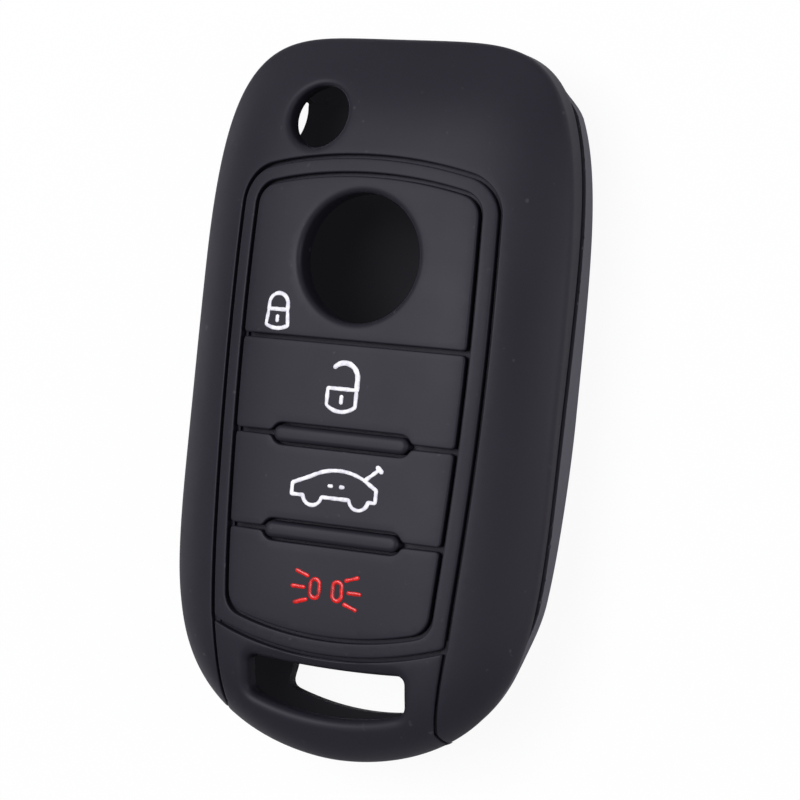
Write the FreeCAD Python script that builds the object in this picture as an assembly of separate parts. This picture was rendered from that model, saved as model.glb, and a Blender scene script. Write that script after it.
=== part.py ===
import FreeCAD, Part
import math
import os

os.makedirs("parts", exist_ok=True)

Vec = FreeCAD.Vector

# Overall size of the cover. X is the width, Y the length and Z the thickness.
length = 80.4
width = 44.9
thickness = 16.8

# Powers of the outline, which is squarer at the top end than at the tail
top_width_power = 4.9
top_length_power = 4.15
tail_width_power = 1.9
tail_length_power = 4.95

# The button face falls away from its crown, faster near its level rim. The limit tames the
# face outside the rim.
dome_drop = 6.0
face_width_power = 4.0
face_length_power = 6.0
rim_power = 2.0
face_limit = 1.2

# The back swells out from its edge, which climbs towards the tail, and is flat in the middle.
belly_rise = 5.4
belly_climb = 3.0
belly_climb_share = 0.7
belly_flat = 0.3

# Shells
seam_height = 8.8
seam_slope = 0.04
side_wall = 2.2
front_skin = 2.4
rear_skin = 2.0
rear_inset = 0.5
lip_proud = 0.2
lip_gap = 0.4
lip_from_top = 7.2
lip_from_tail = 13.2

# Framed panel: the centre line of the groove around its bezel
nose_length = 13.8
tail_length = 11.8
panel_top_rise = 2.3
panel_tail_rise = 2.5
shoulder_top = 7.0
shoulder_middle = 6.77
shoulder_tail = 8.2
panel_widest_y = 4.0
panel_corner_radius = 4.6
bezel_pitch = 2.0
groove = 0.45
inner_corner_radius = 2.5

# Layers under the button face, measured down from it
plate_depth = 0.9
pad_travel = 0.6
stop_clearance = 0.1
web_thickness = 0.7
web_margin = 0.5
stem_depth = 2.6
stem_inset = 1.2
stem_clearance = 0.15
rest_clearance = 0.05
edge_clearance = 0.1

# Pads, from the top down; the last is a little taller than those above it
badge_pad_height = 20.42
last_pad_extra = 0.64

# Bars on the two lower lines between pads
bar_half_length = 8.2
bar_width = 1.85
bar_moat = 0.3
bar_proud = 0.25

# Round openings
badge_radius = 7.15
badge_above_line = 9.32
release_radius = 3.6
release_from_middle = 7.45
release_from_top = 9.45

# Keyring slot through both shells, and the grooves either side of it
slot_half = 9.6
slot_height = 5.55
slot_from_tail = 4.9
slot_top_rise = 0.4
slot_tail_rise = 1.7
slot_end_round = 1.7
tail_groove_width = 0.45
tail_groove_depth = 0.7
tail_groove_inset = 0.05
tail_groove_lean = 1.35
tail_groove_from_tail = 3.8

# Slot for the folding blade in the left side, with room for its pivot
blade_slot_low = 3.8
blade_slot_high = 8.8
blade_slot_from_top = 11.2
blade_slot_from_tail = 19.2
pivot_from_side = 1.95
pivot_from_top = 9.7
pivot_radius = 5.6

# Filled marks, drawn for pads of this pitch and half width
mark_line = 0.42
mark_depth = 0.3
mark_proud = 0.05
mark_clearance = 0.04
mark_dot = 0.36
drawn_pitch = 10.58
drawn_half = 13.38

# Places that follow from the sizes above
half_length = length / 2
half_width = width / 2
panel_top = half_length - nose_length
panel_tail = tail_length - half_length
panel_half_top = half_width - shoulder_top
panel_half_middle = half_width - shoulder_middle
panel_half_tail = half_width - shoulder_tail
pad_half = panel_half_middle - bezel_pitch - groove / 2
first_line = panel_top - badge_pad_height
pad_pitch = (first_line - panel_tail - bezel_pitch - last_pad_extra) / 3
lines = [first_line - k * pad_pitch for k in range(3)]
badge_y = first_line + badge_above_line
web_depth = plate_depth + pad_travel + stop_clearance
slot_tail = slot_from_tail - half_length
slot_top = slot_tail + slot_height
cavity_x = half_width - side_wall
cavity_y = half_length - side_wall
far = length


def plan_share(x, y):
    # 1 on the outline and less inside it; both ends agree across the middle
    u = abs(x) / half_width
    v = abs(y) / half_length
    if y >= 0:
        a, b = top_width_power, top_length_power
    else:
        a, b = tail_width_power, tail_length_power
    return (u ** a + v ** b) ** (face_width_power / a)


def crown(x, y):
    u = abs(x) / half_width
    v = abs(y) / half_length
    fall = min(u ** face_width_power + v ** face_length_power, face_limit)
    share = min(plan_share(x, y), face_limit)
    return thickness - dome_drop * (fall + (share - fall) * share ** rim_power)


def belly(x, y):
    way = min(max(-y, 0) / half_length / belly_climb_share, 1)
    rise = belly_rise + belly_climb * way * way * (3 - 2 * way)
    return rise * plan_share(x, y) - belly_flat


def grid_face(height):
    # A smooth face through a grid of heights, a little larger than the cover
    columns = 29
    rows = 45
    overhang = 2.0
    grid = []
    for i in range(columns):
        x = (2 * i / (columns - 1) - 1) * (half_width + overhang)
        line = []
        for j in range(rows):
            y = (2 * j / (rows - 1) - 1) * (half_length + overhang)
            line.append(Vec(x, y, height(x, y)))
        grid.append(line)
    surface = Part.BSplineSurface()
    surface.interpolate(grid)
    return surface.toShape()


dome_face = grid_face(crown)
belly_face = grid_face(belly)


def layer(top, bottom):
    # The space between two depths under the button face
    moved = dome_face.translated(Vec(0, 0, -top))
    return moved.extrude(Vec(0, 0, top - bottom))


def above_belly(skin):
    # The space that lies at least the given height above the swollen back
    return belly_face.translated(Vec(0, 0, skin)).extrude(Vec(0, 0, far))


def below_seam(gap):
    # The space under the sloping seam, or under a level lower by the given gap
    ends = [(y, seam_height - seam_slope * y - gap) for y in (-far, far)]
    corners = [Vec(-far, y, z) for y, z in [(-far, -far)] + ends + [(far, -far), (-far, -far)]]
    return Part.Face(Part.makePolygon(corners)).extrude(Vec(2 * far, 0, 0))


def rim_point(angle, half_x, half_y):
    # Outline of the cover: a rounded top end and a rounder tail
    c = abs(math.cos(angle)) / half_x
    s = abs(math.sin(angle)) / half_y
    if math.sin(angle) >= 0:
        a, b = top_width_power, top_length_power
    else:
        a, b = tail_width_power, tail_length_power
    low, high = 0.0, 2 * half_y
    for step in range(60):
        r = (low + high) / 2
        if (r * c) ** a + (r * s) ** b < 1:
            low = r
        else:
            high = r
    return Vec(r * math.cos(angle), r * math.sin(angle), 0)


def rim_prism(half_x, half_y, low, high):
    steps = 72
    points = [rim_point(2 * math.pi * k / steps, half_x, half_y) for k in range(steps)]
    curve = Part.BSplineCurve()
    curve.interpolate(points, PeriodicFlag=True)
    face = Part.Face(Part.Wire(curve.toShape()))
    return face.translated(Vec(0, 0, low)).extrude(Vec(0, 0, high - low))


def arc(p, q, r):
    return Part.Arc(Vec(*p, 0), Vec(*q, 0), Vec(*r, 0)).toShape()


def line(p, q):
    return Part.makeLine(Vec(*p, 0), Vec(*q, 0))


def upright_edges(solid, upper):
    found = []
    for e in solid.Edges:
        box = e.BoundBox
        if box.XLength < 1e-4 and box.YLength < 1e-4 and box.ZLength > 1:
            if (box.YMin > 0) == upper:
                found.append(e)
    return found


def panel_prism(grow, tail_round):
    # Four arcs around the panel, moved out by the given amount
    top_y = panel_top - panel_top_rise
    tail_y = panel_tail + panel_tail_rise
    tl = (-panel_half_top, top_y)
    tr = (panel_half_top, top_y)
    bl = (-panel_half_tail, tail_y)
    br = (panel_half_tail, tail_y)
    wire = Part.Wire([
        arc(tl, (0, panel_top), tr),
        arc(tr, (panel_half_middle, panel_widest_y), br),
        arc(br, (0, panel_tail), bl),
        arc(bl, (-panel_half_middle, panel_widest_y), tl),
    ])
    face = Part.Face(wire)
    if grow:
        face = Part.Face(face.makeOffset2D(grow, 2, False, False, True).OuterWire)
    solid = face.extrude(Vec(0, 0, far))
    solid = solid.makeFillet(panel_corner_radius + grow, upright_edges(solid, True))
    if tail_round:
        solid = solid.makeFillet(tail_round, upright_edges(solid, False))
    return solid


def block(x0, x1, y0, y1, z0, z1):
    return Part.makeBox(x1 - x0, y1 - y0, z1 - z0, Vec(x0, y0, z0))


def rod(x, y, radius, z0, z1):
    return Part.makeCylinder(radius, z1 - z0, Vec(x, y, z0))


def pill_face(p, q, breadth):
    # A flat bar with round ends from p to q
    dx, dy = q[0] - p[0], q[1] - p[1]
    share = breadth / 2 / math.hypot(dx, dy)
    ex, ey = dx * share, dy * share
    a, b = (p[0] - ey, p[1] + ex), (q[0] - ey, q[1] + ex)
    c, d = (q[0] + ey, q[1] - ex), (p[0] + ey, p[1] - ex)
    q_end = (q[0] + ex, q[1] + ey)
    p_end = (p[0] - ex, p[1] - ey)
    return Part.Face(Part.Wire([line(a, b), arc(b, q_end, c), line(c, d), arc(d, p_end, a)]))


def pill(p, q, breadth, z0, z1):
    return pill_face(p, q, breadth).translated(Vec(0, 0, z0)).extrude(Vec(0, 0, z1 - z0))


def save(name, shape):
    shape = shape.removeSplitter()
    if len(shape.Solids) != 1 or not shape.isValid():
        raise RuntimeError(name + " is not one sound solid")
    shape.Solids[0].exportStep("parts/" + name + ".step")


# Spaces that the shells give way to
slot_corners = [
    (-slot_half, slot_top + slot_top_rise),
    (slot_half, slot_top + slot_top_rise),
    (slot_half, slot_tail + slot_tail_rise),
    (-slot_half, slot_tail + slot_tail_rise),
]
a, b, c, d = slot_corners
slot_wire = Part.Wire([arc(a, (0, slot_top), b), line(b, c), arc(c, (0, slot_tail), d), line(d, a)])
keyring_slot = Part.Face(slot_wire).extrude(Vec(0, 0, far))
keyring_slot = keyring_slot.makeFillet(slot_end_round, upright_edges(keyring_slot, False))
keyring_slot = keyring_slot.translated(Vec(0, 0, -far / 2))

blade_slot = block(-far, -cavity_x / 2, blade_slot_from_tail - half_length,
                   half_length - blade_slot_from_top, blade_slot_low, blade_slot_high)
pivot_room = rod(pivot_from_side - half_width, half_length - pivot_from_top, pivot_radius,
                 -far, blade_slot_high)
blade_way = blade_slot.fuse(pivot_room)

# Rear shell
rear = rim_prism(half_width - rear_inset, half_length - rear_inset, 0, far).common(below_seam(0))
lip = rim_prism(half_width + lip_proud, half_length, 0, far).common(below_seam(lip_gap))
lip = lip.common(block(0, far, lip_from_tail - half_length, half_length - lip_from_top, 0, far))
rear = rear.fuse(lip).common(above_belly(0))
rear_room = rim_prism(cavity_x, cavity_y, rear_skin, far).common(above_belly(rear_skin))
rear = rear.cut(rear_room).cut(keyring_slot).cut(blade_way)
save("rear_shell", rear)

# Front shell
window_grow = groove / 2
web_grow = window_grow + web_margin
front = rim_prism(half_width, half_length, 0, far).common(layer(0, far)).cut(below_seam(0))
front_room = rim_prism(cavity_x, cavity_y, 0, far).common(layer(front_skin, far))
front = front.cut(front_room)
rebate = panel_prism(web_grow + edge_clearance, 0).common(layer(web_depth - rest_clearance, far))
front = front.cut(rebate).cut(panel_prism(window_grow, 0))
front = front.cut(keyring_slot).cut(blade_way)
front = front.cut(rod(-release_from_middle, half_length - release_from_top, release_radius, 0, far))
groove_x = panel_half_tail - tail_groove_inset
for side in (-1, 1):
    start = (side * groove_x, panel_tail + panel_tail_rise)
    end = (side * (groove_x - tail_groove_lean), tail_groove_from_tail - half_length)
    tail_groove = pill(start, end, tail_groove_width, 0, far)
    front = front.cut(tail_groove.cut(layer(tail_groove_depth, far)))
save("front_shell", front)

# Plan areas of the four pads and of their stems
pad_grow = -bezel_pitch - groove / 2
stem_round = inner_corner_radius - stem_inset
pad_area = panel_prism(pad_grow, inner_corner_radius)
stem_area = panel_prism(pad_grow - stem_inset, stem_round)
hole_area = panel_prism(pad_grow - stem_inset + stem_clearance, stem_round)
pad_tops = [far] + [y - groove / 2 for y in lines]
pad_lows = [y + groove / 2 for y in lines] + [-far]


def strip(area, k, inset):
    return area.common(block(-far, far, pad_lows[k] + inset, pad_tops[k] - inset, -far, far))


def bar(y, grow, top, bottom):
    reach = bar_half_length - bar_width / 2
    solid = pill((-reach, y), (reach, y), bar_width + 2 * grow, 0, far)
    return solid.common(layer(top, bottom))


# Web that carries the bezel and the bars, with a window for each stem
web = panel_prism(web_grow, 0).common(layer(web_depth, web_depth + web_thickness))
for k in range(4):
    web = web.cut(strip(hole_area, k, stem_inset - stem_clearance))
save("flex_web", web)

# Bezel between the two long grooves
seat_depth = web_depth - rest_clearance
bezel = panel_prism(-groove / 2, 0).cut(panel_prism(-bezel_pitch + groove / 2, inner_corner_radius))
save("pad_bezel", bezel.common(layer(0, seat_depth)))

# Divider bars
save("divider_bar_upper", bar(lines[1], 0, -bar_proud, seat_depth))
save("divider_bar_lower", bar(lines[2], 0, -bar_proud, seat_depth))

# Filled marks stand on flat pocket floors. Each is drawn about its own origin.
mark_scale = min(pad_pitch / drawn_pitch, pad_half / drawn_half)
panic_middle = (lines[2] + panel_tail + bezel_pitch) / 2
lock_at = (4.2 * mark_scale - pad_half, first_line + 3.0 * mark_scale)
unlock_at = (-0.27 * mark_scale, (lines[0] + lines[1]) / 2 + 0.2 * mark_scale)
boot_at = (0, (lines[1] + lines[2]) / 2)
panic_at = (0.08 * mark_scale, panic_middle - 0.26 * mark_scale)


def mark_solid(face, at):
    sized = face.scaled(mark_scale, Vec(0, 0, 0))
    floor = crown(*at) - mark_depth
    return sized.translated(Vec(*at, floor)).extrude(Vec(0, 0, mark_depth + dome_drop))


def dash(p, q, grow):
    # A straight line of ink
    return pill_face(p, q, mark_line + 2 * grow)


def stroke(edges, grow):
    # A bent line of ink along open edges
    return Part.Face(Part.Wire(edges).makeOffset2D(mark_line / 2 + grow))


def loop(edges, grow):
    # A line of ink around closed edges
    face = Part.Face(Part.Wire(edges))
    outer = Part.Face(face.makeOffset2D(mark_line / 2 + grow).OuterWire)
    inner = Part.Face(face.makeOffset2D(-mark_line / 2 - grow).OuterWire)
    return outer.cut(inner)


def disc(x, y, grow):
    circle = Part.makeCircle(mark_dot + grow, Vec(x, y, 0))
    return Part.Face(Part.Wire(circle))


def lock_mark(g):
    a, b, c, d = (-1.2, 0), (1.2, 0), (1.4, -1.75), (-1.4, -1.75)
    body = loop([line(a, b), line(b, c), arc(c, (0, -2.1), d), line(d, a)], g)
    e, f = (-1.2, 0.55), (1.2, 0.55)
    return [body, stroke([line(a, e), arc(e, (0, 1.78), f), line(f, b)], g)]


def lock_keyhole(g):
    return [dash((0, -0.8), (0, -1.25), g)]


def unlock_mark(g):
    a, b, c, d = (-1.75, 0), (1.75, 0), (1.75, -1.85), (-1.75, -1.85)
    body = loop([line(a, b), line(b, c), arc(c, (0, -2.5), d), line(d, a)], g)
    return [body, stroke([line(b, (1.75, 1.2)), arc((1.75, 1.2), (0.1, 2.85), (-1.07, 2.37))], g)]


def unlock_keyhole(g):
    return [dash((0, -0.85), (0, -1.5), g)]


def boot_mark(g):
    # Side view of a car with half-round wheels and its lid raised
    sill = -1.16
    nose, screen, boot, tail = (-5.2, 0.09), (-2.9, 1.04), (3.5, 1.14), (5.0, 0.24)
    low = [(x, sill) for x in (5.0, 4.15, 1.85, -1.5, -3.8, -5.2)]
    body = loop([
        line(low[5], nose), line(nose, screen), arc(screen, (0.2, 1.89), boot), line(boot, tail),
        line(tail, low[0]), line(low[0], low[1]), arc(low[1], (3.0, -2.16), low[2]),
        line(low[2], low[3]), arc(low[3], (-2.65, -2.16), low[4]), line(low[4], low[5]),
    ], g)
    return [body, dash(boot, (5.15, 2.5), g), dash((4.95, 2.68), (5.4, 2.3), g)]


def boot_dot_left(g):
    return [disc(-0.55, 0.15, g)]


def boot_dot_right(g):
    return [disc(0.85, 0.15, g)]


def lamp(x):
    def draw(g):
        a, b, c, d = (x - 0.54, 0.5), (x + 0.54, 0.5), (x + 0.54, -0.5), (x - 0.54, -0.5)
        return [loop([arc(a, (x, 1.04), b), line(b, c), arc(c, (x, -1.04), d), line(d, a)], g)]
    return draw


def ray(side, level):
    shift = 0.4 * (1 - abs(level))

    def draw(g):
        near = (side * (2.35 + shift), level * 1.3)
        end = (side * (3.7 + shift), level * 1.75)
        return [dash(near, end, g)]
    return draw


pads = {
    "lock_pad": (lock_at, {"lock_mark": lock_mark, "lock_keyhole": lock_keyhole}),
    "unlock_pad": (unlock_at, {"unlock_mark": unlock_mark, "unlock_keyhole": unlock_keyhole}),
    "boot_pad": (boot_at, {"boot_mark": boot_mark, "boot_dot_left": boot_dot_left,
                           "boot_dot_right": boot_dot_right}),
    "panic_pad": (panic_at, {"lamp_left": lamp(-1.37), "lamp_right": lamp(1.37),
                             "ray_left_top": ray(-1, 1), "ray_left_mid": ray(-1, 0),
                             "ray_left_low": ray(-1, -1), "ray_right_top": ray(1, 1),
                             "ray_right_mid": ray(1, 0), "ray_right_low": ray(1, -1)}),
}

# Pads: a plate that fills the panel between the grooves and a stem through the web
for k, (name, (at, marks)) in enumerate(pads.items()):
    plate = strip(pad_area, k, 0)
    for y in lines[1:]:
        plate = plate.cut(bar(y, bar_moat, -dome_drop, far))
    plate = plate.common(layer(0, plate_depth))
    stem = strip(stem_area, k, stem_inset).common(layer(plate_depth / 2, stem_depth))
    pad = plate.fuse(stem)
    if k == 0:
        pad = pad.cut(rod(0, badge_y, badge_radius, 0, far))
    for mark, draw in marks.items():
        for face in draw(mark_clearance):
            pad = pad.cut(mark_solid(face, at))
        ink = [mark_solid(face, at) for face in draw(0)]
        solid = ink[0].fuse(ink[1:]) if len(ink) > 1 else ink[0]
        save(mark, solid.common(layer(-mark_proud, far)))
    save(name, pad)
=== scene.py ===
import math

import bpy
import numpy as np
from mathutils import Matrix, Vector, kdtree, noise
from mathutils.geometry import delaunay_2d_cdt


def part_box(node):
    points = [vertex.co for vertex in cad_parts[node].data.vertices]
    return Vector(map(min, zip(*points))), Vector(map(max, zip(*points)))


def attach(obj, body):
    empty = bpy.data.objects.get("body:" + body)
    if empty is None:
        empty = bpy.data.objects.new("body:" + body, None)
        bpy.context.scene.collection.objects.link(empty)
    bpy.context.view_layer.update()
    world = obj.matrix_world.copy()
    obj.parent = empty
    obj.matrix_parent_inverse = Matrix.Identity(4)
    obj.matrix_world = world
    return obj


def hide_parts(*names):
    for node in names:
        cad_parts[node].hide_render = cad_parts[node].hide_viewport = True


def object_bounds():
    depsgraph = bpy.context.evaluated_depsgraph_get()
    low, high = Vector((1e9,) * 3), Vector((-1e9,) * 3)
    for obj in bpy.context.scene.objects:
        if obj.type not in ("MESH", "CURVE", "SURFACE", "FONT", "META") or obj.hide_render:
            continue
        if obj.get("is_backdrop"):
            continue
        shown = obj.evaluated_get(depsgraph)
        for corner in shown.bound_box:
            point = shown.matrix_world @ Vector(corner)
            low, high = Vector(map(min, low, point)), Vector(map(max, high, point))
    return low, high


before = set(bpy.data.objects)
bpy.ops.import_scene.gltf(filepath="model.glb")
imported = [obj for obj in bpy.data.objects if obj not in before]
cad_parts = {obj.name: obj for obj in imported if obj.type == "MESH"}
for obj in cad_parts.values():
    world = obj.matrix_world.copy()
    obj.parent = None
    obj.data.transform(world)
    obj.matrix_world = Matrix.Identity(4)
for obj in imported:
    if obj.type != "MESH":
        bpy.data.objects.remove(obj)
cadLow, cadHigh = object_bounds()
print("frame loaded", len(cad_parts), "nodes")


def boxMm(node):
    low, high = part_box(node)
    return np.array(low) * 1000, np.array(high) * 1000


# Main sizes in millimetres. Those that the frame holds are read from it.
frontHigh = boxMm("front_shell")[1]
bezelLow, bezelHigh = boxMm("pad_bezel")
groove = 0.45
bezelWidth = 2.0  # between the middles of the grooves beside the bezel
barWidth = 1.85
upperBarY, lowerBarY = (boxMm("divider_bar_" + k)[1][1] - barWidth / 2 for k in ("upper", "lower"))
hiddenSoft = 0.04  # rounding of edges that are out of sight
batch = 2000  # points worked on at once

form = dict(
    halfWidth=frontHigh[0], halfLength=frontHigh[1], crown=boxMm("unlock_pad")[1][2],
    topPowers=(4.9, 4.15), tailPowers=(1.9, 4.95), facePowers=(4, 6), farthest=1.2, domeDrop=6.0,
    bellyRise=5.4, bellyClimb=3.0, bellyReach=0.7, bellyFlat=0.3, bellySoft=0.0004, rearInset=0.5,
    seam=8.8, seamSlope=0.04, seamGap=0.02, sideWall=2.2, frontSkin=2.4, rearSkin=2.0,
)
lines = [2 * upperBarY - lowerBarY, upperBarY, lowerBarY]  # levels between the pads
panel = dict(
    top=bezelHigh[1] + groove / 2, tail=bezelLow[1] - groove / 2,
    halfMiddle=bezelHigh[0] + groove / 2, halfTop=15.45, halfTail=14.25,
    topRise=2.3, tailRise=2.5, widestY=4.0, corner=4.6, tailCorner=0.5, innerCorner=2.5,
)
padGrow = -bezelWidth - groove / 2


# Plan curves

def circleThrough(p, q, r):
    (ax, ay), (bx, by), (cx, cy) = p, q, r
    twice = 2 * (ax * (by - cy) + bx * (cy - ay) + cx * (ay - by))
    a, b, c = ax * ax + ay * ay, bx * bx + by * by, cx * cx + cy * cy
    x = (a * (by - cy) + b * (cy - ay) + c * (ay - by)) / twice
    y = (a * (cx - bx) + b * (ax - cx) + c * (bx - ax)) / twice
    return np.array([x, y]), math.hypot(ax - x, ay - y)


def sweepArc(centre, radius, start, turn, count):
    angles = start + turn * np.linspace(0, 1, count)
    return centre + radius * np.column_stack([np.cos(angles), np.sin(angles)])


def arcPoints(p, q, r, count=24):
    centre, radius = circleThrough(p, q, r)
    a, m, b = (math.atan2(s[1] - centre[1], s[0] - centre[0]) for s in (p, q, r))
    turn = (b - a) % math.tau
    if (m - a) % math.tau > turn:
        turn -= math.tau
    return sweepArc(centre, radius, a, turn, count)


def circlesMeet(c1, r1, c2, r2, near):
    gap = c2 - c1
    span = math.hypot(*gap)
    along = (span * span + r1 * r1 - r2 * r2) / (2 * span)
    aside = math.sqrt(max(r1 * r1 - along * along, 0))
    middle = c1 + gap / span * along
    side = np.array([-gap[1], gap[0]]) / span * aside
    return min(middle + side, middle - side, key=lambda p: math.hypot(*(p - near)))


arcCounts = dict(side=240, corner=40)


def arcLoop(circles, radii, corners):
    # Arcs joined by rounded corners, counter-clockwise
    hubs = []
    for k, (centre, radius) in enumerate(circles):
        c2, r2 = circles[(k + 1) % len(circles)]
        f = radii[k]
        hubs.append(circlesMeet(centre, radius - f, c2, r2 - f, np.array(corners[k])))
    runs = []
    for k, (centre, radius) in enumerate(circles):
        angles = [math.atan2(*(hub - centre)[::-1]) for hub in (hubs[k - 1], hubs[k])]
        runs.append(sweepArc(centre, radius, angles[0], (angles[1] - angles[0]) % math.tau, arcCounts["side"]))
        c2 = circles[(k + 1) % len(circles)][0]
        first, last = (math.atan2(*(hubs[k] - c)[::-1]) for c in (centre, c2))
        runs.append(sweepArc(hubs[k], radii[k], first, (last - first) % math.tau, arcCounts["corner"]))
    return evenly(np.vstack(runs), 0.05)


def runAlong(line):
    # Length of a line up to each of its points
    return np.concatenate([[0.0], np.cumsum(np.hypot(*np.diff(line, axis=0).T))])


def evenly(points, step, closed=True):
    line = np.vstack([points, points[:1]]) if closed else points
    run = runAlong(line)
    count = max(8, round(run[-1] / step))
    at = np.linspace(0, run[-1], count + 1)
    found = np.column_stack([np.interp(at, run, line[:, k]) for k in (0, 1)])
    return found[:-1] if closed else found


def softened(points, reach):
    return sum(np.roll(points, k, 0) for k in range(-reach, reach + 1)) / (2 * reach + 1)


def smoothed(points, fine, reach, step):
    return evenly(softened(evenly(points, fine), reach), step)


def outward(points):
    ahead = np.roll(points, -1, 0) - np.roll(points, 1, 0)
    side = np.column_stack([ahead[:, 1], -ahead[:, 0]])
    return side / np.hypot(side[:, 0], side[:, 1])[:, None]


def sideOf(path):
    # Normals to the right of an open path
    ahead = np.gradient(path, axis=0)
    return np.column_stack([ahead[:, 1], -ahead[:, 0]]) / np.hypot(*ahead.T)[:, None]


def ringOf(x, y, radius, step):
    return evenly(sweepArc(np.array([x, y]), radius, 0, math.tau, 400)[:-1], step)


def panelLoop(grow, tailCorner):
    ht, hb, hm = panel["halfTop"], panel["halfTail"], panel["halfMiddle"]
    ty, by = panel["top"] - panel["topRise"], panel["tail"] + panel["tailRise"]
    arcs = [
        ((hb, by), (hm, panel["widestY"]), (ht, ty)), ((ht, ty), (0, panel["top"]), (-ht, ty)),
        ((-ht, ty), (-hm, panel["widestY"]), (-hb, by)), ((-hb, by), (0, panel["tail"]), (hb, by)),
    ]
    circles = [(c, r + grow) for c, r in (circleThrough(*a) for a in arcs)]
    top = panel["corner"] + grow
    corners = [(ht, ty), (-ht, ty), (-hb, by), (hb, by)]
    return arcLoop(circles, [top, top, tailCorner, tailCorner], corners)


def planShare(x, y):
    # 1 on the outline of the cover and less inside it
    u, v = np.abs(x) / form["halfWidth"], np.abs(y) / form["halfLength"]
    (topX, topY), (tailX, tailY) = form["topPowers"], form["tailPowers"]
    tail = (u ** tailX + v ** tailY) ** (4 / tailX)
    return np.where(y >= 0, (u ** topX + v ** topY) ** (4 / topX), tail)


def rimLoop(inset=0.0):
    # Outline of the cover, or the same made smaller all round
    count = 4000
    angles = np.linspace(0, math.tau, count, endpoint=False)
    c, s = np.cos(angles), np.sin(angles)
    smallX, smallY = (1 - inset / form[k] for k in ("halfWidth", "halfLength"))
    low, high = np.zeros(count), np.full(count, 2 * form["halfLength"])
    for k in range(50):  # each turn halves the span
        r = (low + high) / 2
        within = planShare(r * c / smallX, r * s / smallY) < 1
        low, high = np.where(within, r, low), np.where(within, high, r)
    points = evenly(np.column_stack([r * c, r * s]), 0.2)
    return points, outward(points)


def domeHeight(points):
    x, y = points.T
    u, v = np.abs(x) / form["halfWidth"], np.abs(y) / form["halfLength"]
    across, along = form["facePowers"]
    fall = np.minimum(u ** across + v ** along, form["farthest"])
    share = np.minimum(planShare(x, y), form["farthest"])
    return form["crown"] - form["domeDrop"] * (fall + (share - fall) * share ** 2)


def ramp(value, low, high):
    s = np.clip((value - low) / (high - low), 0, 1)
    return s * s * (3 - 2 * s)


def bellyHeight(points):
    x, y = points.T
    rise = form["bellyRise"] + form["bellyClimb"] * ramp(-y, 0, form["bellyReach"] * form["halfLength"])
    found = rise * planShare(x, y) - form["bellyFlat"]
    return (found + np.sqrt(found * found + form["bellySoft"])) / 2


def seamHeight(points):
    return form["seam"] - form["seamSlope"] * points[:, 1]


uneven = dict(height=0.022, sink=0.5, scale=11.0, layer=3.7)


def waver(points):
    # Slow unevenness of a moulded rubber face
    scale, layer = uneven["scale"], uneven["layer"]
    found = [noise.noise(Vector((x / scale, y / scale, layer))) for x, y in points]
    return uneven["height"] * (np.array(found) - uneven["sink"])


def footOn(curve, points):
    # Nearest place on an even closed curve: foot, normal there and signed distance
    base, normals = curve
    step = math.hypot(*(base[1] - base[0]))
    best = np.empty(len(points), int)
    for k in range(0, len(points), batch):
        part = points[k:k + batch, None, :] - base[None]
        best[k:k + batch] = (part * part).sum(2).argmin(1)
    b, n = base[best], normals[best]
    tangent = np.column_stack([-n[:, 1], n[:, 0]])
    share = np.clip(((points - b) * tangent).sum(1) / step, -1, 1)[:, None]
    nextN, lastN = normals[(best + 1) % len(base)], normals[best - 1]
    normal = n + np.where(share > 0, nextN - n, n - lastN) * share
    normal /= np.hypot(normal[:, 0], normal[:, 1])[:, None]
    foot = b + tangent * share * step
    return foot, normal, ((points - foot) * normal).sum(1)


def inside(points, loop):
    found = np.zeros(len(points), bool)
    ax, ay = loop.T
    bx, by = np.roll(loop, -1, 0).T
    rise = np.where(by == ay, 1e-12, by - ay)
    for k in range(0, len(points), batch):
        x, y = points[k:k + batch, :1], points[k:k + batch, 1:]
        crosses = ((ay > y) != (by > y)) & (x < ax + (y - ay) * (bx - ax) / rise)
        found[k:k + batch] = crosses.sum(1) % 2 == 1
    return found


def apartFrom(points, others, gap):
    if not len(points) or not len(others):
        return points
    tree = kdtree.KDTree(len(others))
    for k, (x, y) in enumerate(others):
        tree.insert((x, y, 0), k)
    tree.balance()
    keep = [tree.find((x, y, 0))[2] > gap for x, y in points]
    return points[np.array(keep)]


arcRows = [math.radians(a) for a in (0, 22.5, 45, 67.5, 90)]
fillGaps = dict(row=0.866, edge=0.55, extra=0.6, extraEdge=0.12)  # shares of the spacing, the last in mm


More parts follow.
